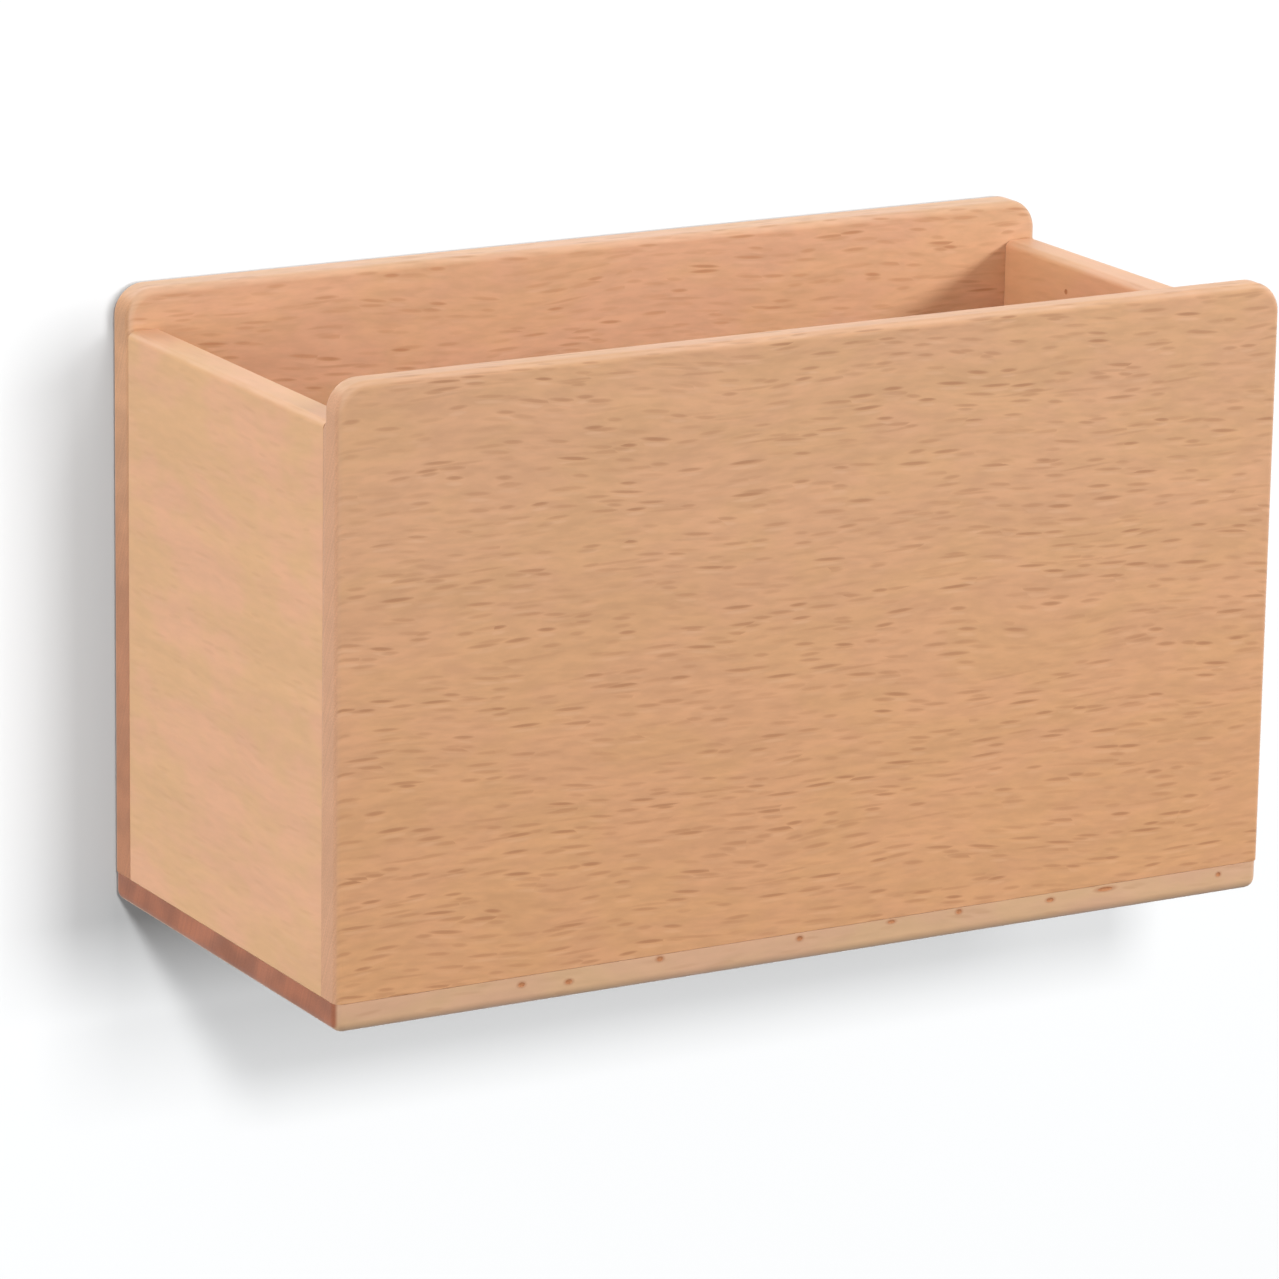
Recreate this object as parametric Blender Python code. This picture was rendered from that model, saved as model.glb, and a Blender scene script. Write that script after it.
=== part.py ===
"""A magnetic beech holder for whiteboard markers and an eraser: an open-topped box of five boards.

Units are metres, +Z is up and the front faces -Y. The origin is the middle of the underside, and
left is -X. The front and back panels cover the side panels' ends and stand higher than them. The
bottom panel lies under all four walls. Hidden dowels pin the glued joints, and four disc magnets
lie flush in the back panel's rear face.
"""

import math

import bmesh
import bpy
from mathutils import Color

# Overall size
WIDTH = 0.185
DEPTH = 0.086
HEIGHT = 0.111

# Boards
FRONT_THICKNESS = 0.0054
BACK_THICKNESS = 0.0065
SIDE_THICKNESS = 0.0065
BOTTOM_THICKNESS = 0.0052
SIDE_DROP = 0.0072  # the side panels' tops lie this far below the front and back panels' tops
CORNER_RADIUS = 0.0055  # upper corners of the front and back panels
ARRIS_RADIUS = 0.0014  # the free edges of the four walls
BOTTOM_ARRIS_RADIUS = 0.002  # the bottom panel's lower edges and upright corners
GLUE_GAP = 0.0003  # between two boards

# Dowels
DOWEL_DIAMETER = 0.003
DOWEL_LENGTH = 0.016
DOWEL_CHAMFER = 0.0004
DOWEL_CLEARANCE = 0.0003  # between a dowel and its hole, all round
DOWEL_END_ROOM = 0.0005  # past each end of a dowel
FACE_BITE = 0.0038  # how deep a corner dowel goes into the front or back panel
BOTTOM_BITE = 0.0030  # how deep a dowel goes into the bottom panel
CORNER_DOWEL_FOOT = 0.028  # height of the lower dowel in each upright corner
CORNER_DOWEL_TOP_INSET = 0.027  # from the upper one to the panels' tops
BOTTOM_DOWEL_INSET = 0.0245  # from the outer ones to the front and back panels' ends

# Magnets
MAGNET_DIAMETER = 0.020
MAGNET_THICKNESS = 0.003
MAGNET_CHAMFER = 0.0003
MAGNET_CLEARANCE = 0.0003  # the glue round a magnet and under it
MAGNET_FOOT = 0.032  # height of the lower magnets' middles
MAGNET_TOP_INSET = 0.023  # from the upper magnets' middles to the back panel's top
MAGNET_END_INSET = 0.0325  # from the magnets' middles to the back panel's ends

# Facets of the round shapes
CORNER_SEGMENTS = 8
ARRIS_SEGMENTS = 4
DOWEL_SIDES = 16
MAGNET_SIDES = 48

SHARP_ANGLE = math.radians(60)
SMOOTH_ANGLE = math.radians(40)
TOUCH = 1e-6
OVERSHOOT = 0.001  # how far a cutter stands out of the face that it opens
X, Y, Z = range(3)
UPRIGHT = (0, 0, 0)
LYING = (math.radians(90), 0, 0)  # turns a rod's axis from Z to Y

# Where the boards meet
WALL_FOOT = BOTTOM_THICKNESS + GLUE_GAP
SIDE_TOP = HEIGHT - SIDE_DROP
FRONT_INNER_FACE = -DEPTH / 2 + FRONT_THICKNESS
BACK_INNER_FACE = DEPTH / 2 - BACK_THICKNESS
FRONT_MIDDLE = -DEPTH / 2 + FRONT_THICKNESS / 2
BACK_MIDDLE = DEPTH / 2 - BACK_THICKNESS / 2
SIDE_MIDDLE = WIDTH / 2 - SIDE_THICKNESS / 2

# Wood colours, as they look on a screen
FACE_BEECH = (0.84, 0.64, 0.49)
SIDE_BEECH = (0.87, 0.69, 0.54)
BOTTOM_BEECH = (0.80, 0.61, 0.47)
DOWEL_BEECH = (0.82, 0.66, 0.50)
NICKEL = (0.74, 0.74, 0.73)


def clear_scene():
    for old in list(bpy.data.objects):
        bpy.data.objects.remove(old, do_unlink=True)


def new_collection(name):
    collection = bpy.data.collections.new(name)
    bpy.context.scene.collection.children.link(collection)
    return collection


def new_material(name, colour, roughness, metallic=0.0):
    material = bpy.data.materials.new(name)
    material.use_nodes = True
    shader = material.node_tree.nodes["Principled BSDF"]
    shader.inputs["Base Color"].default_value = (*Color(colour).from_srgb_to_scene_linear(), 1.0)
    shader.inputs["Roughness"].default_value = roughness
    shader.inputs["Metallic"].default_value = metallic
    return material


def wood(name, colour):
    return new_material(name, colour, roughness=0.55)


def place(name, builder, location, collection, rotation=UPRIGHT, material=None, parent=None):
    """Makes an object of the built mesh, with its origin at the location."""
    mesh = bpy.data.meshes.new(name)
    builder.to_mesh(mesh)
    builder.free()
    mesh.shade_smooth()
    mesh.set_sharp_from_angle(angle=SMOOTH_ANGLE)
    if material:
        mesh.materials.append(material)
    piece = bpy.data.objects.new(name, mesh)
    piece.location = location
    piece.rotation_euler = rotation
    piece.parent = parent
    collection.objects.link(piece)
    return piece


def lies_on(edge, axis, value):
    return all(abs(corner.co[axis] - value) < TOUCH for corner in edge.verts)


def lies_above(edge, height):
    return all(corner.co[Z] > height - TOUCH for corner in edge.verts)


def round_edges(builder, wanted, radius, segments):
    """Rounds the sharp edges that the wanted function picks. One segment makes a chamfer."""
    sharp = [edge for edge in builder.edges if edge.calc_face_angle(0) > SHARP_ANGLE]
    bmesh.ops.bevel(
        builder,
        geom=[edge for edge in sharp if wanted(edge)],
        offset=radius,
        offset_type="OFFSET",
        segments=segments,
        profile=0.5,
        affect="EDGES",
    )


def board(size):
    """A square-edged board, centred on its own origin."""
    builder = bmesh.new()
    bmesh.ops.create_cube(builder, size=1.0)
    bmesh.ops.scale(builder, vec=size, verts=builder.verts)
    return builder


def rod(diameter, length, sides, chamfer=0.0):
    """A cylinder along Z, centred on its own origin."""
    builder = bmesh.new()
    bmesh.ops.create_cone(
        builder,
        cap_ends=True,
        segments=sides,
        radius1=diameter / 2,
        radius2=diameter / 2,
        depth=length,
    )
    if chamfer:
        round_edges(builder, lambda edge: True, chamfer, segments=1)
    return builder


def add_tall_panel(name, thickness, middle_y, outward, parts, holder):
    """The front or back panel: two rounded upper corners, and arrises rounded where they are free."""
    height = HEIGHT - WALL_FOOT
    middle_z = WALL_FOOT + height / 2
    top = height / 2
    shoulder = SIDE_TOP - middle_z
    outer_face = outward * thickness / 2
    builder = board((WIDTH, thickness, height))

    def at_an_end(edge):
        return lies_on(edge, X, -WIDTH / 2) or lies_on(edge, X, WIDTH / 2)

    def is_free(edge):
        if lies_on(edge, Y, outer_face):
            return not lies_on(edge, Z, -top)
        return lies_on(edge, Y, -outer_face) and lies_above(edge, shoulder)

    round_edges(
        builder,
        lambda edge: lies_on(edge, Z, top) and at_an_end(edge),
        CORNER_RADIUS,
        CORNER_SEGMENTS,
    )
    bmesh.ops.bisect_plane(
        builder,
        geom=builder.verts[:] + builder.edges[:] + builder.faces[:],
        plane_co=(0, 0, shoulder),
        plane_no=(0, 0, 1),
    )
    round_edges(builder, is_free, ARRIS_RADIUS, ARRIS_SEGMENTS)
    beech = wood(name + "_beech", FACE_BEECH)
    return place(name, builder, (0, middle_y, middle_z), parts, material=beech, parent=holder)


def add_side_panel(name, side, parts, holder):
    """A side panel between the front and back panels, with both of its top edges rounded."""
    length = BACK_INNER_FACE - FRONT_INNER_FACE - 2 * GLUE_GAP
    height = SIDE_TOP - WALL_FOOT
    middle_y = (FRONT_INNER_FACE + BACK_INNER_FACE) / 2
    builder = board((SIDE_THICKNESS, length, height))

    def is_long_top_edge(edge):
        at_a_face = lies_on(edge, X, -SIDE_THICKNESS / 2) or lies_on(edge, X, SIDE_THICKNESS / 2)
        return lies_on(edge, Z, height / 2) and at_a_face

    round_edges(builder, is_long_top_edge, ARRIS_RADIUS, ARRIS_SEGMENTS)
    beech = wood(name + "_beech", SIDE_BEECH)
    place_at = (side * SIDE_MIDDLE, middle_y, WALL_FOOT + height / 2)
    return place(name, builder, place_at, parts, material=beech, parent=holder)


def add_bottom_panel(name, parts, holder):
    """The bottom panel. Its lower edges and upright corners are rounded, and its top stays square."""
    builder = board((WIDTH, DEPTH, BOTTOM_THICKNESS))

    def is_free(edge):
        at_an_end = lies_on(edge, X, -WIDTH / 2) or lies_on(edge, X, WIDTH / 2)
        at_a_face = lies_on(edge, Y, -DEPTH / 2) or lies_on(edge, Y, DEPTH / 2)
        return lies_on(edge, Z, -BOTTOM_THICKNESS / 2) or (at_an_end and at_a_face)

    round_edges(builder, is_free, BOTTOM_ARRIS_RADIUS, ARRIS_SEGMENTS)
    beech = wood(name + "_beech", BOTTOM_BEECH)
    place_at = (0, 0, BOTTOM_THICKNESS / 2)
    return place(name, builder, place_at, parts, material=beech, parent=holder)


def cut(panel, cutter):
    boolean = panel.modifiers.new("cut for " + cutter.name, "BOOLEAN")
    boolean.operation = "DIFFERENCE"
    boolean.solver = "EXACT"
    boolean.object = cutter


def add_cutter(name, builder, location, rotation, cutters):
    cutter = place(name, builder, location, cutters, rotation=rotation)
    cutter.hide_render = True
    cutter.display_type = "WIRE"
    return cutter


def add_dowel(name, location, rotation, joined, beech, parts, cutters, holder):
    """A dowel and its hole, which one cutter makes in both of the joined boards."""
    builder = rod(DOWEL_DIAMETER, DOWEL_LENGTH, DOWEL_SIDES, DOWEL_CHAMFER)
    place(name, builder, location, parts, rotation=rotation, material=beech, parent=holder)
    hole_diameter = DOWEL_DIAMETER + 2 * DOWEL_CLEARANCE
    hole_length = DOWEL_LENGTH + 2 * DOWEL_END_ROOM
    hole_builder = rod(hole_diameter, hole_length, DOWEL_SIDES)
    hole = add_cutter(name + "_hole", hole_builder, location, rotation, cutters)
    for panel in joined:
        cut(panel, hole)


def add_dowels(panels, parts, cutters, holder):
    """Two dowels in each upright corner, and eight from the bottom panel into the walls."""
    beech = wood("dowel_beech", DOWEL_BEECH)
    shared = (beech, parts, cutters, holder)
    front_dowel_y = FRONT_INNER_FACE - FACE_BITE + DOWEL_LENGTH / 2
    back_dowel_y = BACK_INNER_FACE + FACE_BITE - DOWEL_LENGTH / 2
    for wall, y in (("front", front_dowel_y), ("back", back_dowel_y)):
        for side, sign in (("left", -1), ("right", 1)):
            joined = (panels[wall], panels[side])
            for row, z in (("lower", CORNER_DOWEL_FOOT), ("upper", HEIGHT - CORNER_DOWEL_TOP_INSET)):
                name = f"{wall}_{side}_{row}_dowel"
                add_dowel(name, (sign * SIDE_MIDDLE, y, z), LYING, joined, *shared)

    foot_z = BOTTOM_THICKNESS - BOTTOM_BITE + DOWEL_LENGTH / 2
    for wall, y in (("front", FRONT_MIDDLE), ("back", BACK_MIDDLE)):
        joined = (panels["bottom"], panels[wall])
        for spot, step in (("left", -1), ("middle", 0), ("right", 1)):
            name = f"bottom_{wall}_{spot}_dowel"
            x = step * (WIDTH / 2 - BOTTOM_DOWEL_INSET)
            add_dowel(name, (x, y, foot_z), UPRIGHT, joined, *shared)
    for side, sign in (("left", -1), ("right", 1)):
        joined = (panels["bottom"], panels[side])
        middle_y = (FRONT_INNER_FACE + BACK_INNER_FACE) / 2
        name = f"bottom_{side}_side_dowel"
        add_dowel(name, (sign * SIDE_MIDDLE, middle_y, foot_z), UPRIGHT, joined, *shared)


def add_magnets(back_panel, parts, cutters, holder):
    """Four disc magnets, flush with the back panel's rear face, each in its own blind pocket."""
    nickel = new_material("magnet_nickel", NICKEL, roughness=0.25, metallic=1.0)
    rear_face = DEPTH / 2
    magnet_y = rear_face - MAGNET_THICKNESS / 2
    pocket_diameter = MAGNET_DIAMETER + 2 * MAGNET_CLEARANCE
    pocket_depth = MAGNET_THICKNESS + MAGNET_CLEARANCE
    pocket_y = rear_face + (OVERSHOOT - pocket_depth) / 2
    for row, z in (("lower", MAGNET_FOOT), ("upper", HEIGHT - MAGNET_TOP_INSET)):
        for side, sign in (("left", -1), ("right", 1)):
            x = sign * (WIDTH / 2 - MAGNET_END_INSET)
            name = f"{row}_{side}_magnet"
            builder = rod(MAGNET_DIAMETER, MAGNET_THICKNESS, MAGNET_SIDES, MAGNET_CHAMFER)
            place(name, builder, (x, magnet_y, z), parts, LYING, nickel, holder)
            pocket_builder = rod(pocket_diameter, pocket_depth + OVERSHOOT, MAGNET_SIDES)
            pocket = add_cutter(name + "_pocket", pocket_builder, (x, pocket_y, z), LYING, cutters)
            cut(back_panel, pocket)


def main():
    clear_scene()
    parts = new_collection("whiteboard accessory holder")
    cutters = new_collection("cutters")
    holder = bpy.data.objects.new("holder", None)
    parts.objects.link(holder)
    panels = {
        "front": add_tall_panel("front_panel", FRONT_THICKNESS, FRONT_MIDDLE, -1, parts, holder),
        "back": add_tall_panel("back_panel", BACK_THICKNESS, BACK_MIDDLE, 1, parts, holder),
        "left": add_side_panel("left_side_panel", -1, parts, holder),
        "right": add_side_panel("right_side_panel", 1, parts, holder),
        "bottom": add_bottom_panel("bottom_panel", parts, holder),
    }
    add_dowels(panels, parts, cutters, holder)
    add_magnets(panels["back"], parts, cutters, holder)


main()
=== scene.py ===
"""The looks of a beech holder for whiteboard markers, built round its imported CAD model.

Everything is in metres in the model's own frame: +Z is up, the front faces -Y, and the whiteboard
that the holder hangs on lies just behind it, at +Y.
"""

import math

import bmesh
import bpy
from mathutils import Color, Matrix, Vector


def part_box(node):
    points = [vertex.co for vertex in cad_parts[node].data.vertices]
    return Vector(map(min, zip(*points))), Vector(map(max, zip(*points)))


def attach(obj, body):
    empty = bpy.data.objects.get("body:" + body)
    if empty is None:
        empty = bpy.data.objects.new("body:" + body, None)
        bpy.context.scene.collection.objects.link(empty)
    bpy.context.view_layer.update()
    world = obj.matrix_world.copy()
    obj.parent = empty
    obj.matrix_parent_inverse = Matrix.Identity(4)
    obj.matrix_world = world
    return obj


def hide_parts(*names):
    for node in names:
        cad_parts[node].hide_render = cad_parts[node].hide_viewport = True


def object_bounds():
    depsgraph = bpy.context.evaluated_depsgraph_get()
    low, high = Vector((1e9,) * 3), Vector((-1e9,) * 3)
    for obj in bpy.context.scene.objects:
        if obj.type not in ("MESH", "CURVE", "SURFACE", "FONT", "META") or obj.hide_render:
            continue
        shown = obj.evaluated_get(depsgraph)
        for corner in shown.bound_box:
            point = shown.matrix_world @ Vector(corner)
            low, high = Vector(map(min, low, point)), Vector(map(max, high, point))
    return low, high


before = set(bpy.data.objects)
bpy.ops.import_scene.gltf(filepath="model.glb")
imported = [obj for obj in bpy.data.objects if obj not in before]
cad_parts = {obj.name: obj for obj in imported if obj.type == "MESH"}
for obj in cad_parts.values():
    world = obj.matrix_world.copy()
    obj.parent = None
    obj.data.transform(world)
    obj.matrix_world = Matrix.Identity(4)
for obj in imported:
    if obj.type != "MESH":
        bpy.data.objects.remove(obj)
cad_low, cad_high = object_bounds()

MM = 0.001
X, Y, Z = range(3)

# The photograph's camera, fitted to the straight edges of the boards
PHOTO_PIXELS = 1279
FOCAL_PIXELS = 6888.65
SENSOR = 36.0  # millimetres
CAMERA_AZIMUTH = -29.67  # degrees, to the left of the front
CAMERA_ELEVATION = 15.13
CAMERA_ROLL = 0.91
CAMERA_DISTANCE = 1.20725
CAMERA_TARGET = Vector((-0.0111, 0, 0.04807))

# The boards' rounding, as in the CAD model, but with finer facets
CORNER_RADIUS = 5.5 * MM
ARRIS_RADIUS = 1.4 * MM
BOTTOM_ARRIS_RADIUS = 2 * MM
EASED_EDGE = 0.1 * MM  # the edges at the joints, just broken with sandpaper
CORNER_SEGMENTS = 24
ARRIS_SEGMENTS = 8
EASED_SEGMENTS = 2
JOINT_LINE = 0.03 * MM  # the glue line between two boards
SHARP_ANGLE = math.radians(60)
SMOOTH_ANGLE = math.radians(35)
TOUCH = 0.01 * MM

# Holes in the boards
HOLE_CLEARANCE = 0.3 * MM
HOLE_SIDES = 48
MAGNET_SIDES = 128
MAGNET_RIM = 0.4 * MM
RIM_SEGMENTS = 4
POCKET_OVERSHOOT = 1 * MM

# Small pores and nicks along the bottom board's front edge: centre x and z, length and height
EDGE_NICKS_MM = [
    (-57.4, 3.8, 1.2, 0.8),
    (-48.3, 3.0, 1.3, 0.8),
    (-30.6, 4.5, 1.2, 0.8),
    (-2.9, 4.2, 1.1, 0.8),
    (15.6, 4.6, 1.4, 0.6),
    (29.4, 4.5, 1.1, 0.8),
    (48.3, 4.0, 1.4, 0.7),
    (59.8, 4.4, 3.0, 0.7),
    (83.9, 3.8, 0.9, 0.7),
]
NICK_DEPTH = 0.13 * MM
DIMPLE_SEGMENTS = 24
STAIN_SPREAD = 2.1  # the soft stain round a nick, over the nick's own size
PIN_KNOT_MM = (15.7, 98.2, 1.0, 1.0)  # on the right side panel's inner face: y, z, length, height


def node_box(name):
    low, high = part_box(name)
    return Vector(low), Vector(high)


def nodes_ending(ending):
    return [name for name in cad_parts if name.endswith(ending)]


def linear(red, green, blue):
    """A colour as a screen shows it, from 0 to 255, in Blender's own linear values."""
    return (*Color((red / 255, green / 255, blue / 255)).from_srgb_to_scene_linear(), 1.0)


# Node trees


def feed(tree, socket, value):
    if isinstance(value, bpy.types.NodeSocket):
        tree.links.new(value, socket)
    elif value is not None:
        socket.default_value = value


def add(tree, kind, inputs=None, **settings):
    """A new node, with its settings and its inputs, which are values or other nodes' outputs."""
    node = tree.nodes.new(kind)
    for setting, value in settings.items():
        setattr(node, setting, value)
    for key, value in (inputs or {}).items():
        feed(tree, node.inputs[key], value)
    return node


def calc(tree, operation, *values):
    return add(tree, "ShaderNodeMath", dict(enumerate(values)), operation=operation).outputs[0]


def ramp(tree, value, start, end, low=0.0, high=1.0):
    """Moves smoothly from low to high as the value goes from start to end."""
    inputs = {0: value, 1: start, 2: end, 3: low, 4: high}
    return add(tree, "ShaderNodeMapRange", inputs, interpolation_type="SMOOTHSTEP").outputs[0]


def blend(tree, factor, first, second, blend_type="MIX"):
    inputs = {0: factor, 6: first, 7: second}
    return add(tree, "ShaderNodeMix", inputs, data_type="RGBA", blend_type=blend_type).outputs[2]


def vector(tree, x, y, z=0.0):
    return add(tree, "ShaderNodeCombineXYZ", {0: x, 1: y, 2: z}).outputs[0]


def noise(tree, x, y, seed, detail=2.0):
    """A noise from about 0.2 to 0.8, with one wave to each unit of x and y."""
    inputs = {"Vector": vector(tree, x, y, seed), "Scale": 1.0, "Detail": detail}
    return add(tree, "ShaderNodeTexNoise", inputs, noise_dimensions="3D").outputs["Fac"]


def waves(tree, along, across, size, seed, detail=2.0):
    """A noise whose waves are about as long and as wide as the size."""
    length, width = size
    return noise(tree, calc(tree, "DIVIDE", along, length), calc(tree, "DIVIDE", across, width), seed, detail)


def shaded(tree, colour, shade):
    """The colour times a grey."""
    return blend(tree, 1.0, colour, vector(tree, shade, shade, shade), "MULTIPLY")


def split(tree, value):
    return add(tree, "ShaderNodeSeparateXYZ", {0: value}).outputs


def millimetres(tree, place):
    return [calc(tree, "MULTIPLY", place[axis], 1 / MM) for axis in (X, Y, Z)]


def new_material(name):
    material = bpy.data.materials.new(name)
    material.use_nodes = True
    return material, material.node_tree, material.node_tree.nodes["Principled BSDF"]


# Beech

# Sizes are in millimetres, along the grain and then across it. Tones are as a screen shows them.
# A range is where the value that it belongs to takes effect and where its effect is full.
GRAIN_LEAN = 0.83  # how far the grain rises through a board's thickness
SWAY_SIZE = (45.0, 22.0)
SWAY = 5.5  # how far the grain wanders up and down
PATCH_SIZE = (17.0, 9.0)
PATCH_RANGE = (0.36, 0.64)
BAND_SIZE = (60.0, 5.0)
BAND_SHADES = (0.96, 1.03)
STREAK_SIZE = (4.8, 1.3)
STREAK_RANGE = (0.25, 0.75)
STREAK_CONTRAST = 0.06
PLAIN_SHARE = 0.3  # the share of the streaks' contrast that a board without flecks keeps
NOISE_RANGE = (0.3, 0.7)  # where nearly all of a noise lies

FLECK_TILT = 2.5  # degrees that the flecks fall below the grain
STRONG_FLECKS = {"cell": (8.2, 3.0), "size": (5.8, 0.8), "scatter": 0.1, "weakest": 0.2}
FAINT_FLECKS = {"cell": (7.2, 2.4), "size": (5.4, 0.88), "scatter": 0.12, "weakest": 0.0}
RISING_FLECKS = {"cell": (16.0, 5.0), "size": (11.0, 0.65), "scatter": 0.1, "weakest": 0.0}
FAINT_DEPTH = 0.62
RISING_DEPTH = 0.45
FLECK_ROW_SIZE = (32.0, 3.0)
FLECK_ROW_RANGE = (0.36, 0.56)
BETWEEN_ROWS = 0.5  # the share of their depth that flecks between the rows keep
# The pale line under each fleck is a painted highlight, as if the fleck stood raised in the light.
HIGHLIGHT_LINE_DROP = 1.05  # how far a fleck's pale line lies under it, over its thickness
HIGHLIGHT_LINE_STRENGTH = 0.4
FAINT_HIGHLIGHT_SHARE = 0.5
LENGTH_SPREAD = (0.7, 1.4)

STAIN_TONE = (186, 128, 92)
STAIN_STRENGTH = 0.8
STAIN_REACH = (1.0, 0.4)  # how far behind the board's front edge
# The paler rounded edges and top faces are partly wear and partly a painted highlight where light falls from
# above.
EDGE_WEAR_AND_HIGHLIGHT = 0.28  # how far the rounded upper edges pale
LOWER_EDGE_SHARE = 0.25  # the share of that paling on edges that don't face up
TOP_PAINTED_HIGHLIGHT = 0.2  # how far the top faces pale
PALE_EDGE_PATCH_SIZE = (11.0, 7.0)
PALE_EDGE_RANGE = (0.3, 0.6)
LEAST_PALE_EDGE = 0.55  # the share of its paling that an edge always has
ROUNDED = (1.0, 0.75)  # the largest part of the normal, on a flat face and on a rounded edge
UPWARD = (0.0, 0.6)  # the normal's upward part
TOP_FACE = (0.8, 0.97)
EDGE_WEAR_HIGHLIGHT_TONE = (236, 200, 172)

RING_LEAN = 2.4  # how far the growth rings rise through a board's thickness
RING_SIZE = (40.0, 1.3)
PORE_SIZE = (0.3, 0.3)
END_FACING = (0.62, 0.9)  # the part of the normal that points along the grain
BLOTCH_SIZE = (9.0, 6.0)
END_SHADES = (0.93, 1.05)
END_CONTRAST = 0.12

LACQUER_GLOSS = (0.5, 0.58)
END_DULLNESS = 0.12
LACQUER_IOR = 1.46
COAT_WEIGHT = 0.22
COAT_ROUGHNESS = 0.35
GRAIN_BUMP = 0.35
GRAIN_DEPTH = 0.09 * MM
STREAK_RELIEF = 0.5
FLECK_RELIEF = 0.9

# Two ground tones, the flecks' tone and the tone of the pale line under each, a painted highlight that makes
# each fleck look raised
FACE_TONES = ((214, 160, 120), (213, 161, 118), (183, 130, 92), (227, 178, 140))
# The back panel's tones are paler than the front's: painted light that lifts its inner face out of the box's
# shade.
LIFTED_BACK_TONES = ((219, 172, 139), (218, 173, 135), (195, 144, 107), (230, 187, 154))
SIDE_TONES = ((224, 168, 129), (219, 171, 124), (197, 142, 104), (232, 189, 155))
# The right side panel's tones are paler than the left one's: painted light that lifts its inner face out of
# the box's shade.
LIFTED_INSIDE_TONES = ((228, 174, 136), (226, 175, 132), (200, 145, 106), (236, 192, 158))
BOTTOM_TONES = ((214, 169, 136), (214, 173, 134), (182, 132, 97), (230, 190, 158))

# End grain, at the bottom of the box and at its top. The back panel's end grain is darker at the bottom,
# which is painted shade.
END_HEIGHTS = (40.0, 105.0)
FACE_END = ((207, 156, 121), (207, 156, 121))
BACK_END_SHADED_BELOW = ((177, 119, 85), (205, 154, 115))
SIDE_END = ((190, 140, 105), (190, 140, 105))
BOTTOM_END = ((158, 95, 66), (158, 95, 66))

# The front panel's painted shading, as from light falling from above: linear tints, at its bottom (darker and
# warmer) and at its top (paler)
PAINTED_SHADING_HEIGHTS = (5.0, 106.0)
FRONT_PAINTED_SHADING = ((1.02, 0.99, 0.93, 1.0), (1.01, 1.06, 1.12, 1.0))

BOARD_LOOKS = {
    "front_panel": {
        "name": "front_beech",
        "slot": "face_beech",
        "grain_axis": X,
        "seed": 11.0,
        "tones": FACE_TONES,
        "end_tones": FACE_END,
        "fleck_strength": 1.0,
        "end_contrast": 0.03,
        "painted_shading": FRONT_PAINTED_SHADING,
    },
    "back_panel": {
        "name": "back_beech",
        "slot": "face_beech",
        "grain_axis": X,
        "seed": 23.0,
        "tones": LIFTED_BACK_TONES,
        "end_tones": BACK_END_SHADED_BELOW,
        "fleck_strength": 1.0,
        "end_contrast": 0.09,
        "edge_wear_and_highlight": 0.1,
    },
    "left_side_panel": {
        "name": "left_beech",
        "slot": "side_beech",
        "grain_axis": Y,
        "seed": 37.0,
        "tones": SIDE_TONES,
        "end_tones": SIDE_END,
        "fleck_strength": 0.25,
    },
    "right_side_panel": {
        "name": "right_beech",
        "slot": "side_beech",
        "grain_axis": Y,
        "seed": 41.0,
        "tones": LIFTED_INSIDE_TONES,
        "end_tones": SIDE_END,
        "fleck_strength": 0.25,
    },
    "bottom_panel": {
        "name": "bottom_beech",
        "slot": "bottom_beech",
        "grain_axis": X,
        "seed": 53.0,
        "tones": BOTTOM_TONES,
        "end_tones": BOTTOM_END,
        "fleck_strength": 0.3,
        "end_contrast": 0.2,
        "stained": True,
    },
}
DOWEL_LOOK = {
    "name": "dowel_beech",
    "slot": "dowel_beech",
    "grain_axis": Y,
    "seed": 61.0,
    "tones": SIDE_TONES,
    "end_tones": SIDE_END,
    "fleck_strength": 0.5,
}


def square(tree, value):
    return calc(tree, "MULTIPLY", value, value)


def spindle(tree, du, dv, half_length, half_thickness):
    """1 in the middle of a thin pointed shape, and 0 outside it."""
    reach_u = square(tree, calc(tree, "DIVIDE", du, half_length))
    reach_v = square(tree, calc(tree, "DIVIDE", dv, half_thickness))
    return ramp(tree, calc(tree, "ADD", reach_u, reach_v), 1.0, 0.0)


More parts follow.
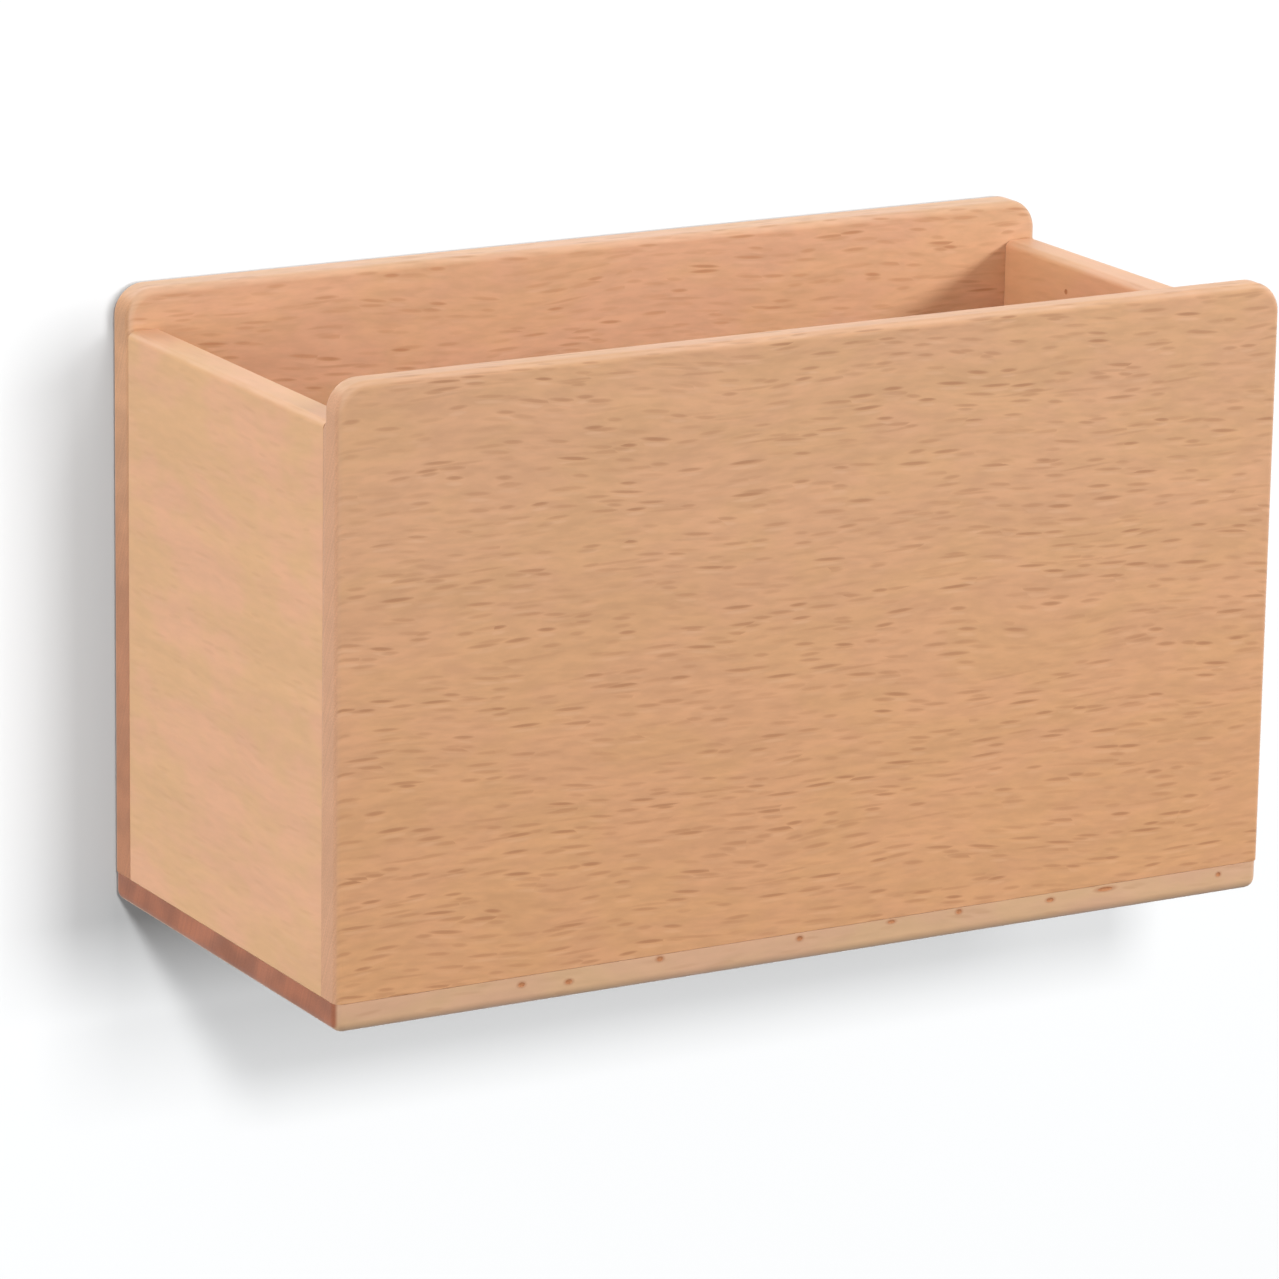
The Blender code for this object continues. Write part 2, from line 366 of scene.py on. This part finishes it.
def flecks(tree, along, across, seed, cell, size, scatter, weakest):
    """Short thin dashes along the grain, one in each cell, and the pale line under each, a painted highlight
    that makes the dash look raised.

    Their slopes differ by the scatter, and the weakest have that share of the strongest ones' depth.
    """
    cell_length, cell_height = cell
    length, thickness = size
    place = vector(
        tree,
        calc(tree, "ADD", calc(tree, "DIVIDE", along, cell_length), seed * 3.7),
        calc(tree, "ADD", calc(tree, "DIVIDE", across, cell_height), seed * 5.3),
    )
    cells = add(tree, "ShaderNodeTexVoronoi", {"Vector": place, "Scale": 1.0}, voronoi_dimensions="2D")
    inputs = {0: place, 1: cells.outputs["Position"]}
    offset = add(tree, "ShaderNodeVectorMath", inputs, operation="SUBTRACT").outputs[0]
    lot = add(tree, "ShaderNodeSeparateColor", {0: cells.outputs["Color"]}).outputs
    du = calc(tree, "MULTIPLY", split(tree, offset)[0], cell_length)
    dv = calc(tree, "MULTIPLY", split(tree, offset)[1], cell_height)
    lean = calc(tree, "MULTIPLY", calc(tree, "SUBTRACT", lot[1], 0.5), scatter)
    dv = calc(tree, "SUBTRACT", dv, calc(tree, "MULTIPLY", du, lean))
    half_length = calc(tree, "MULTIPLY", ramp(tree, lot[0], 0.0, 1.0, *LENGTH_SPREAD), length / 2)
    depth = ramp(tree, lot[2], 0.0, 1.0, weakest, 1.0)
    dark = spindle(tree, du, dv, half_length, thickness / 2)
    highlight_dv = calc(tree, "ADD", dv, HIGHLIGHT_LINE_DROP * thickness)
    highlight_line = spindle(tree, du, highlight_dv, half_length, thickness / 2)
    return calc(tree, "MULTIPLY", dark, depth), calc(tree, "MULTIPLY", highlight_line, depth)


def all_flecks(tree, along, across, tilted, seed, strength):
    """How dark the flecks are, and how pale the painted highlight lines under them."""
    strong, under_strong = flecks(tree, along, tilted, seed, **STRONG_FLECKS)
    faint, under_faint = flecks(tree, along, tilted, seed + 7.3, **FAINT_FLECKS)
    rising, _ = flecks(tree, along, across, seed + 2.9, **RISING_FLECKS)
    dark = calc(tree, "MAXIMUM", strong, calc(tree, "MULTIPLY", faint, FAINT_DEPTH))
    dark = calc(tree, "MAXIMUM", dark, calc(tree, "MULTIPLY", rising, RISING_DEPTH))
    rows = waves(tree, along, across, FLECK_ROW_SIZE, seed + 6.6, 1.0)
    rows = ramp(tree, rows, *FLECK_ROW_RANGE, BETWEEN_ROWS, 1.0)
    dark = calc(tree, "MULTIPLY", calc(tree, "MULTIPLY", dark, rows), strength)
    highlight_line = calc(tree, "MAXIMUM", under_strong, calc(tree, "MULTIPLY", under_faint, FAINT_HIGHLIGHT_SHARE))
    return dark, calc(tree, "MULTIPLY", highlight_line, HIGHLIGHT_LINE_STRENGTH * strength)


def stains(tree, x, y, z):
    """1 in the middle of each nick's stain and 0 away from them, on the bottom board's front edge only."""
    stain = 0.0
    for nick_x, nick_z, length, height in EDGE_NICKS_MM:
        du = calc(tree, "SUBTRACT", x, nick_x)
        dv = calc(tree, "SUBTRACT", z, nick_z)
        spot = spindle(tree, du, dv, STAIN_SPREAD * length / 2, STAIN_SPREAD * height / 2)
        stain = calc(tree, "MAXIMUM", stain, spot)
    start, end = (cad_low.y / MM + reach for reach in STAIN_REACH)
    return calc(tree, "MULTIPLY", stain, ramp(tree, y, start, end))


def wear_and_painted_highlight(tree, normal, patches, edge_wear_and_highlight):
    """How far the rounded edges pale, most of all the upper ones, and the top faces: partly wear, and partly
    a painted highlight where light falls from above.
    """
    facing = calc(tree, "MAXIMUM", calc(tree, "ABSOLUTE", normal[X]), calc(tree, "ABSOLUTE", normal[Y]))
    facing = calc(tree, "MAXIMUM", facing, calc(tree, "ABSOLUTE", normal[Z]))
    patchy = ramp(tree, patches, *PALE_EDGE_RANGE, LEAST_PALE_EDGE * edge_wear_and_highlight, edge_wear_and_highlight)
    edge_paling = calc(tree, "MULTIPLY", ramp(tree, facing, *ROUNDED), patchy)
    edge_paling = calc(tree, "MULTIPLY", edge_paling, ramp(tree, normal[Z], *UPWARD, LOWER_EDGE_SHARE, 1.0))
    return calc(tree, "MAXIMUM", edge_paling, ramp(tree, normal[Z], *TOP_FACE, 0.0, TOP_PAINTED_HIGHLIGHT))


def end_grain(tree, depth, height, seed, tones, contrast):
    """Growth rings that lean through the board's thickness, fine pores and blotches."""
    leaning = calc(tree, "ADD", height, calc(tree, "MULTIPLY", depth, RING_LEAN))
    rings = waves(tree, depth, leaning, RING_SIZE, seed + 5.0)
    pores = waves(tree, depth, height, PORE_SIZE, seed + 6.0, 1.0)
    blotches = waves(tree, depth, height, BLOTCH_SIZE, seed + 8.0, 1.0)
    shade = calc(
        tree,
        "MULTIPLY",
        ramp(tree, rings, *NOISE_RANGE, *END_SHADES),
        ramp(tree, pores, *NOISE_RANGE, *END_SHADES),
    )
    shade = calc(tree, "MULTIPLY", shade, ramp(tree, blotches, *NOISE_RANGE, 1 - contrast, 1 + contrast))
    # The tone runs from the bottom one to the top one; the back panel's darker bottom end is painted shade.
    low, high = (linear(*tone) for tone in tones)
    return shaded(tree, blend(tree, ramp(tree, height, *END_HEIGHTS), low, high), shade)


def beech(
    name,
    slot,
    grain_axis,
    seed,
    tones,
    end_tones,
    fleck_strength,
    end_contrast=END_CONTRAST,
    stained=False,
    edge_wear_and_highlight=EDGE_WEAR_AND_HIGHLIGHT,
    painted_shading=None,
):
    """Lacquered beech, with its grain along X or Y and end grain on the faces across it."""
    material, tree, shader = new_material(name)
    coordinates = add(tree, "ShaderNodeTexCoord")
    place = millimetres(tree, split(tree, coordinates.outputs["Object"]))
    normal = split(tree, coordinates.outputs["Normal"])
    along = place[grain_axis]
    depth = place[Y if grain_axis == X else X]
    height = calc(tree, "ADD", place[Z], calc(tree, "MULTIPLY", depth, GRAIN_LEAN))
    sway = calc(tree, "SUBTRACT", waves(tree, along, height, SWAY_SIZE, seed, 1.0), 0.5)
    across = calc(tree, "ADD", height, calc(tree, "MULTIPLY", sway, SWAY))
    slope = math.tan(math.radians(FLECK_TILT))
    tilted = calc(tree, "ADD", across, calc(tree, "MULTIPLY", along, slope))

    # Broad patches, faint bands and fine streaks
    pink, yellow, fleck_tone, fleck_highlight_tone = (linear(*tone) for tone in tones)
    patches = waves(tree, along, across, PATCH_SIZE, seed + 1.5)
    colour = blend(tree, ramp(tree, patches, *PATCH_RANGE), pink, yellow)
    bands = waves(tree, along, across, BAND_SIZE, seed + 3.1)
    streaks = waves(tree, along, tilted, STREAK_SIZE, seed + 4.7, 3.0)
    contrast = STREAK_CONTRAST * (PLAIN_SHARE + (1 - PLAIN_SHARE) * fleck_strength)
    shade = calc(
        tree,
        "MULTIPLY",
        ramp(tree, bands, *NOISE_RANGE, *BAND_SHADES),
        ramp(tree, streaks, *STREAK_RANGE, 1 - contrast, 1 + contrast),
    )
    colour = shaded(tree, colour, shade)

    dark, highlight_line = all_flecks(tree, along, across, tilted, seed, fleck_strength)
    # A painted highlight line under each fleck, then the flecks themselves.
    colour = blend(tree, highlight_line, colour, fleck_highlight_tone)
    colour = blend(tree, dark, colour, fleck_tone)
    if stained:
        stain = calc(tree, "MULTIPLY", stains(tree, *place), STAIN_STRENGTH)
        colour = blend(tree, stain, colour, linear(*STAIN_TONE))
    # Painted shading on the front panel: darker towards the bottom, paler towards the top.
    if painted_shading:
        painted_shade_tint = blend(tree, ramp(tree, place[Z], *PAINTED_SHADING_HEIGHTS), *painted_shading)
        colour = blend(tree, 1.0, colour, painted_shade_tint, "MULTIPLY")
    pale_edge_patches = waves(tree, along, height, PALE_EDGE_PATCH_SIZE, seed + 9.3)
    # Paler rounded edges and top faces: wear, and a painted highlight where light falls from above.
    colour = blend(tree, wear_and_painted_highlight(tree, normal, pale_edge_patches, edge_wear_and_highlight), colour, linear(*EDGE_WEAR_HIGHLIGHT_TONE))
    end_colour = end_grain(tree, depth, place[Z], seed, end_tones, end_contrast)
    at_end = ramp(tree, calc(tree, "ABSOLUTE", normal[grain_axis]), *END_FACING)
    feed(tree, shader.inputs["Base Color"], blend(tree, at_end, colour, end_colour))

    raised = calc(tree, "MULTIPLY", streaks, STREAK_RELIEF)
    relief = calc(tree, "SUBTRACT", raised, calc(tree, "MULTIPLY", dark, FLECK_RELIEF))
    bump = add(tree, "ShaderNodeBump", {"Strength": GRAIN_BUMP, "Distance": GRAIN_DEPTH, "Height": relief})
    feed(tree, shader.inputs["Normal"], bump.outputs[0])
    roughness = ramp(tree, patches, *NOISE_RANGE, *LACQUER_GLOSS)
    roughness = calc(tree, "ADD", roughness, calc(tree, "MULTIPLY", at_end, END_DULLNESS))
    feed(tree, shader.inputs["Roughness"], roughness)
    shader.inputs["IOR"].default_value = LACQUER_IOR
    shader.inputs["Coat Weight"].default_value = COAT_WEIGHT
    shader.inputs["Coat Roughness"].default_value = COAT_ROUGHNESS
    material["slot"] = slot
    return material


NICK_SPOT_SIZE = (0.4, 0.4)
NICK_TONES = ((184, 122, 82), (198, 138, 96))
NICKEL_TONES = ((186, 186, 184), (205, 204, 200))
SCRATCH_TONE = (150, 149, 146)
DULL_PATCH_SIZE = (7.0, 7.0)
SCRATCH_SIZE = (9.0, 0.12)
NICKEL_GRAIN_SIZE = (0.15, 0.15)
NICKEL_GLOSS = (0.26, 0.4)
NICKEL_BUMP = 0.12
NICKEL_DEPTH = 0.04 * MM


def nick_material():
    """The dark inside of a pore or nick."""
    material, tree, shader = new_material("dark_pore")
    x, _, z = millimetres(tree, split(tree, add(tree, "ShaderNodeTexCoord").outputs["Object"]))
    spots = waves(tree, x, z, NICK_SPOT_SIZE, 2.0)
    colour = blend(tree, ramp(tree, spots, *NOISE_RANGE), *(linear(*tone) for tone in NICK_TONES))
    feed(tree, shader.inputs["Base Color"], colour)
    shader.inputs["Roughness"].default_value = 0.8
    return material


def nickel():
    """Satin nickel plate with a fine grain, a few scratches and dull patches."""
    material, tree, shader = new_material("satin_nickel")
    x, _, z = millimetres(tree, split(tree, add(tree, "ShaderNodeTexCoord").outputs["Object"]))
    patches = waves(tree, x, z, DULL_PATCH_SIZE, 1.0, 3.0)
    scratches = waves(tree, x, z, SCRATCH_SIZE, 4.0, 3.0)
    grain = waves(tree, x, z, NICKEL_GRAIN_SIZE, 7.0)
    colour = blend(tree, ramp(tree, patches, 0.35, 0.65), *(linear(*tone) for tone in NICKEL_TONES))
    colour = blend(tree, ramp(tree, scratches, 0.6, 0.75, 0.0, 0.35), colour, linear(*SCRATCH_TONE))
    feed(tree, shader.inputs["Base Color"], colour)
    shader.inputs["Metallic"].default_value = 1.0
    feed(tree, shader.inputs["Roughness"], ramp(tree, patches, *NOISE_RANGE, *NICKEL_GLOSS))
    relief = calc(tree, "ADD", calc(tree, "MULTIPLY", scratches, 0.6), calc(tree, "MULTIPLY", grain, 0.4))
    bump = add(tree, "ShaderNodeBump", {"Strength": NICKEL_BUMP, "Distance": NICKEL_DEPTH, "Height": relief})
    feed(tree, shader.inputs["Normal"], bump.outputs[0])
    return material


# Boards


def lies_on(edge, axis, value):
    return all(abs(corner.co[axis] - value) < TOUCH for corner in edge.verts)


def lies_above(edge, height):
    return all(corner.co[Z] > height - TOUCH for corner in edge.verts)


def round_edges(builder, wanted, radius, segments):
    """Rounds the sharp edges that the wanted function picks."""
    sharp = [edge for edge in builder.edges if edge.calc_face_angle(0) > SHARP_ANGLE]
    bmesh.ops.bevel(
        builder,
        geom=[edge for edge in sharp if wanted(edge)],
        offset=radius,
        offset_type="OFFSET",
        segments=segments,
        profile=0.5,
        affect="EDGES",
        clamp_overlap=True,
    )


def block(low, high):
    builder = bmesh.new()
    bmesh.ops.create_cube(builder, size=1.0)
    bmesh.ops.scale(builder, vec=high - low, verts=builder.verts)
    bmesh.ops.translate(builder, vec=(low + high) / 2, verts=builder.verts)
    return builder


def new_object(name, builder, material):
    mesh = bpy.data.meshes.new(name)
    builder.to_mesh(mesh)
    builder.free()
    mesh.shade_smooth()
    mesh.materials.append(material)
    piece = bpy.data.objects.new(name, mesh)
    bpy.context.scene.collection.objects.link(piece)
    return piece


def tall_panel(low, high, outer_face, inner_face, shoulder):
    """The front or back panel: rounded upper corners, and soft arrises wherever they are free."""
    builder = block(low, high)

    def at_an_end(edge):
        return lies_on(edge, X, low.x) or lies_on(edge, X, high.x)

    def is_free(edge):
        if lies_on(edge, Y, outer_face):
            return not lies_on(edge, Z, low.z)
        return lies_on(edge, Y, inner_face) and lies_above(edge, shoulder)

    round_edges(
        builder,
        lambda edge: lies_on(edge, Z, high.z) and at_an_end(edge),
        CORNER_RADIUS,
        CORNER_SEGMENTS,
    )
    bmesh.ops.bisect_plane(
        builder,
        geom=builder.verts[:] + builder.edges[:] + builder.faces[:],
        plane_co=(0, 0, shoulder),
        plane_no=(0, 0, 1),
    )
    round_edges(builder, is_free, ARRIS_RADIUS, ARRIS_SEGMENTS)
    round_edges(builder, lambda edge: lies_on(edge, Z, low.z), EASED_EDGE, EASED_SEGMENTS)
    return builder


def side_panel(low, high):
    """A side panel: its two long top edges are soft, and the edges at its joints are only eased."""
    builder = block(low, high)

    def is_long_top_edge(edge):
        return lies_on(edge, Z, high.z) and (lies_on(edge, X, low.x) or lies_on(edge, X, high.x))

    round_edges(builder, is_long_top_edge, ARRIS_RADIUS, ARRIS_SEGMENTS)
    round_edges(builder, lambda edge: True, EASED_EDGE, EASED_SEGMENTS)
    return builder


def bottom_panel(low, high):
    """The bottom panel: soft below and at its upright corners, eased round its top."""
    builder = block(low, high)

    def is_free(edge):
        at_an_end = lies_on(edge, X, low.x) or lies_on(edge, X, high.x)
        at_a_face = lies_on(edge, Y, low.y) or lies_on(edge, Y, high.y)
        return lies_on(edge, Z, low.z) or (at_an_end and at_a_face)

    round_edges(builder, is_free, BOTTOM_ARRIS_RADIUS, ARRIS_SEGMENTS)
    round_edges(builder, lambda edge: lies_on(edge, Z, high.z), EASED_EDGE, EASED_SEGMENTS)
    return builder


def rod(middle, pointing, radius, length, sides):
    builder = bmesh.new()
    turn = Vector((0, 0, 1)).rotation_difference(pointing).to_matrix().to_4x4()
    bmesh.ops.create_cone(
        builder,
        cap_ends=True,
        segments=sides,
        radius1=radius,
        radius2=radius,
        depth=length,
        matrix=Matrix.Translation(middle) @ turn,
    )
    return builder


def dimple(middle, size):
    """A flat ellipsoid, which cuts a shallow nick."""
    builder = bmesh.new()
    bmesh.ops.create_uvsphere(
        builder, u_segments=DIMPLE_SEGMENTS, v_segments=DIMPLE_SEGMENTS // 2, radius=0.5
    )
    bmesh.ops.scale(builder, vec=size, verts=builder.verts)
    bmesh.ops.translate(builder, vec=middle, verts=builder.verts)
    return builder


def boxes_meet(first, second):
    return all(first[0][axis] < second[1][axis] and second[0][axis] < first[1][axis] for axis in (X, Y, Z))


def dowel_hole(name):
    low, high = node_box(name)
    size = high - low
    axis = max((X, Y, Z), key=lambda candidate: size[candidate])
    pointing = Vector((axis == X, axis == Y, axis == Z))
    radius = min(size) / 2 + HOLE_CLEARANCE
    return rod((low + high) / 2, pointing, radius, size[axis] + 2 * HOLE_CLEARANCE, HOLE_SIDES)


def magnet_pocket(name):
    low, high = node_box(name)
    depth = high.y - low.y + HOLE_CLEARANCE
    middle = (low + high) / 2
    middle.y = high.y + (POCKET_OVERSHOOT - depth) / 2
    radius = (high.x - low.x) / 2 + HOLE_CLEARANCE
    return rod(middle, Vector((0, 1, 0)), radius, depth + POCKET_OVERSHOOT, MAGNET_SIDES)


def cut_and_finish(piece, cutters):
    """Cuts the holes, then keeps the result as the piece's own mesh, with its flat faces shaded flat."""
    for index, cutter in enumerate(cutters):
        boolean = piece.modifiers.new(f"cut {index}", "BOOLEAN")
        boolean.operation = "DIFFERENCE"
        boolean.solver = "EXACT"
        boolean.material_mode = "TRANSFER"
        boolean.object = cutter
    graph = bpy.context.evaluated_depsgraph_get()
    mesh = bpy.data.meshes.new_from_object(piece.evaluated_get(graph), depsgraph=graph)
    piece.modifiers.clear()
    mesh.name = piece.name
    mesh.set_sharp_from_angle(angle=SMOOTH_ANGLE)
    piece.data = mesh
    weighted = piece.modifiers.new("flat faces stay flat", "WEIGHTED_NORMAL")
    weighted.keep_sharp = True
    weighted.mode = "FACE_AREA"
    for cutter in cutters:
        bpy.data.objects.remove(cutter)


def add_boards(materials):
    boxes = {name: node_box(name) for name in materials}
    front, back = boxes["front_panel"], boxes["back_panel"]
    foot = boxes["bottom_panel"][1].z + JOINT_LINE
    shoulder = boxes["left_side_panel"][1].z
    for low, high in (front, back):
        low.z = foot
    for name in ("left_side_panel", "right_side_panel"):
        boxes[name][0].z = foot
        boxes[name][0].y = front[1].y + JOINT_LINE
        boxes[name][1].y = back[0].y - JOINT_LINE
    builders = {
        "front_panel": tall_panel(*front, front[0].y, front[1].y, shoulder),
        "back_panel": tall_panel(*back, back[1].y, back[0].y, shoulder),
        "left_side_panel": side_panel(*boxes["left_side_panel"]),
        "right_side_panel": side_panel(*boxes["right_side_panel"]),
        "bottom_panel": bottom_panel(*boxes["bottom_panel"]),
    }
    dark_pore = nick_material()
    for name, builder in builders.items():
        board = new_object("fine_" + name, builder, materials[name])
        cutters = []
        for dowel in nodes_ending("_dowel"):
            if boxes_meet(boxes[name], node_box(dowel)):
                cutters.append(new_object("hole", dowel_hole(dowel), materials[name]))
        if name == "back_panel":
            for magnet in nodes_ending("_magnet"):
                cutters.append(new_object("pocket", magnet_pocket(magnet), materials[name]))
        if name == "bottom_panel":
            for x, z, length, height in EDGE_NICKS_MM:
                middle = Vector((x * MM, boxes[name][0].y, z * MM))
                size = Vector((length * MM, 2 * NICK_DEPTH, height * MM))
                cutters.append(new_object("nick", dimple(middle, size), dark_pore))
        if name == "right_side_panel":
            y, z, length, height = PIN_KNOT_MM
            middle = Vector((boxes[name][0].x, y * MM, z * MM))
            size = Vector((2 * NICK_DEPTH, length * MM, height * MM))
            cutters.append(new_object("nick", dimple(middle, size), dark_pore))
        cut_and_finish(board, cutters)
        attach(board, "root")
        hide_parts(name)


def add_magnets(material):
    for name in nodes_ending("_magnet"):
        low, high = node_box(name)
        builder = rod((low + high) / 2, Vector((0, 1, 0)), (high.x - low.x) / 2, high.y - low.y, MAGNET_SIDES)
        round_edges(builder, lambda edge: True, MAGNET_RIM, RIM_SEGMENTS)
        magnet = new_object("fine_" + name, builder, material)
        cut_and_finish(magnet, [])
        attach(magnet, "root")
        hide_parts(name)


def finish_dowels(material):
    for name in nodes_ending("_dowel"):
        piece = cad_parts[name]
        piece.data.materials.clear()
        piece.data.materials.append(material)


# Camera, lights and surroundings


def direction(azimuth, elevation):
    """Where a view or a lamp stands. Azimuth 0 is in front of the holder and 90 to its right."""
    a, e = math.radians(azimuth), math.radians(elevation)
    return Vector((math.sin(a) * math.cos(e), -math.cos(a) * math.cos(e), math.sin(e)))


def add_camera():
    backward = direction(CAMERA_AZIMUTH, CAMERA_ELEVATION)
    azimuth = math.radians(CAMERA_AZIMUTH)
    right = Vector((math.cos(azimuth), math.sin(azimuth), 0))
    up = backward.cross(right)
    camera = bpy.data.objects.new("camera", bpy.data.cameras.new("camera"))
    camera.data.sensor_width = SENSOR
    camera.data.lens = FOCAL_PIXELS * SENSOR / PHOTO_PIXELS
    turned = Matrix((right, up, backward)).transposed().to_4x4()
    roll = Matrix.Rotation(math.radians(CAMERA_ROLL), 4, "Z")
    camera.matrix_world = Matrix.Translation(CAMERA_TARGET + backward * CAMERA_DISTANCE) @ turned @ roll
    bpy.context.scene.collection.objects.link(camera)
    bpy.context.scene.camera = camera


def add_lamp(name, azimuth, elevation, distance, size, level, receivers):
    """A square soft lamp. Its level is how bright it makes a white surface that faces it.

    Gloss mirrors the even white room and not the lamps, as in a light tent.
    """
    middle = (cad_low + cad_high) / 2
    lamp = bpy.data.lights.new(name, "AREA")
    lamp.shape = "SQUARE"
    lamp.size = size
    lamp.energy = level * math.pi**2 * distance**2
    holder = bpy.data.objects.new(name, lamp)
    backward = direction(azimuth, elevation)
    holder.location = middle + backward * distance
    holder.rotation_euler = backward.to_track_quat("Z", "Y").to_euler()
    holder.visible_glossy = False
    holder.light_linking.receiver_collection = receivers
    bpy.context.scene.collection.objects.link(holder)


def seen_directly(tree):
    """1 where a ray comes from the camera, a mirror or glass, and 0 for light that falls on things."""
    path = add(tree, "ShaderNodeLightPath").outputs
    seen = calc(tree, "MAXIMUM", path["Is Camera Ray"], path["Is Glossy Ray"])
    return calc(tree, "MAXIMUM", seen, path["Is Transmission Ray"])


WALL_COLOUR = (0.178, 0.18, 0.182, 1.0)
WALL_GLOW = 0.135
WALL_GAP = 0.3 * MM
FLOOR_TONES = ((118, 118, 118), (124, 124, 124))
FLOOR_WAVE = 1 / 3  # metres
FLOOR_DROP = 0.35
FLOOR_GLOW = 0.75
ROOM_SIZE = 3.0
ROOM_LIGHT_BELOW = 0.12
ROOM_LIGHT_ABOVE = 0.7

# The lamps: azimuth and elevation in degrees, distance and size in metres, and level
BOARD_LAMPS = [
    ("board lamp", 8.2, 7.1, 2.5, 0.5, 2.38),
    ("board top lamp", 2.3, 20.2, 2.5, 0.46, 0.96),
    ("board side lamp", -17.9, 23.7, 2.5, 0.28, 1.77),
]
HOLDER_LAMPS = [
    ("right softbox", 46, 21, 1.3, 0.2, 0.62),
    ("left softbox", -75, 10, 1.3, 0.6, 0.5),
    ("top softbox", -5, 75, 1.2, 0.6, 0.03),
    ("back softbox", 180, 30, 1.5, 0.9, 0.5),
]


def flat_stage(name, corners, material):
    builder = bmesh.new()
    builder.faces.new([builder.verts.new(corner) for corner in corners])
    plane = new_object(name, builder, material)
    return plane


def add_whiteboard():
    """The upright board behind the holder. It shows from its front only, so the back can be looked at."""
    material, tree, shader = new_material("whiteboard")
    tree.nodes.remove(shader)
    diffuse = add(tree, "ShaderNodeBsdfDiffuse", {"Color": WALL_COLOUR}).outputs[0]
    glow = add(tree, "ShaderNodeEmission", {"Color": (1, 1, 1, 1)})
    feed(tree, glow.inputs["Strength"], calc(tree, "MULTIPLY", seen_directly(tree), WALL_GLOW))
    front = add(tree, "ShaderNodeAddShader", {0: diffuse, 1: glow.outputs[0]}).outputs[0]
    clear = add(tree, "ShaderNodeBsdfTransparent").outputs[0]
    from_behind = add(tree, "ShaderNodeNewGeometry").outputs["Backfacing"]
    shown = add(tree, "ShaderNodeMixShader", {0: from_behind, 1: front, 2: clear}).outputs[0]
    feed(tree, tree.nodes["Material Output"].inputs["Surface"], shown)
    y = cad_high.y + WALL_GAP
    half = ROOM_SIZE / 2
    bottom, top = -FLOOR_DROP, ROOM_SIZE
    corners = [(-half, y, bottom), (half, y, bottom), (half, y, top), (-half, y, top)]
    board = flat_stage("whiteboard_behind", corners, material)
    board.visible_diffuse = False
    board.visible_glossy = False
    board.visible_shadow = False
    return board


def add_floor():
    material, tree, shader = new_material("floor")
    place = split(tree, add(tree, "ShaderNodeTexCoord").outputs["Object"])
    haze = waves(tree, place[X], place[Y], (FLOOR_WAVE, FLOOR_WAVE), 1.0)
    dark, light = (linear(*tone) for tone in FLOOR_TONES)
    feed(tree, shader.inputs["Base Color"], blend(tree, haze, dark, light))
    shader.inputs["Roughness"].default_value = 0.9
    shader.inputs["Emission Color"].default_value = (1, 1, 1, 1)
    feed(tree, shader.inputs["Emission Strength"], calc(tree, "MULTIPLY", seen_directly(tree), FLOOR_GLOW))
    half = ROOM_SIZE / 2
    z = -FLOOR_DROP
    corners = [(-half, -half, z), (half, -half, z), (half, half, z), (-half, half, z)]
    floor = flat_stage("floor", corners, material)
    floor.visible_diffuse = False


def add_world():
    """A room whose light grows from its floor to its ceiling. Seen directly, it is white."""
    world = bpy.data.worlds.new("studio")
    world.use_nodes = True
    tree = world.node_tree
    background = tree.nodes["Background"]
    background.inputs["Color"].default_value = (1, 1, 1, 1)
    height = split(tree, add(tree, "ShaderNodeTexCoord").outputs["Generated"])[2]
    level = ramp(tree, height, -1.0, 1.0, ROOM_LIGHT_BELOW, ROOM_LIGHT_ABOVE)
    feed(tree, background.inputs["Strength"], calc(tree, "MAXIMUM", level, seen_directly(tree)))
    bpy.context.scene.world = world


def receiving(name, thing, state):
    """A collection that makes a lamp light only the thing, or everything but the thing."""
    collection = bpy.data.collections.new(name)
    collection.objects.link(thing)
    collection.collection_objects[0].light_linking.link_state = state
    return collection


def add_lights(whiteboard):
    only_board = receiving("lit board", whiteboard, "INCLUDE")
    not_board = receiving("all but the board", whiteboard, "EXCLUDE")
    for lamp in BOARD_LAMPS:
        add_lamp(*lamp, receivers=only_board)
    for lamp in HOLDER_LAMPS:
        add_lamp(*lamp, receivers=not_board)


def main():
    add_camera()
    add_boards({board: beech(**look) for board, look in BOARD_LOOKS.items()})
    add_magnets(nickel())
    finish_dowels(beech(**DOWEL_LOOK))
    whiteboard = add_whiteboard()
    add_floor()
    add_world()
    add_lights(whiteboard)
    bpy.context.scene.view_settings.view_transform = "Standard"


main()
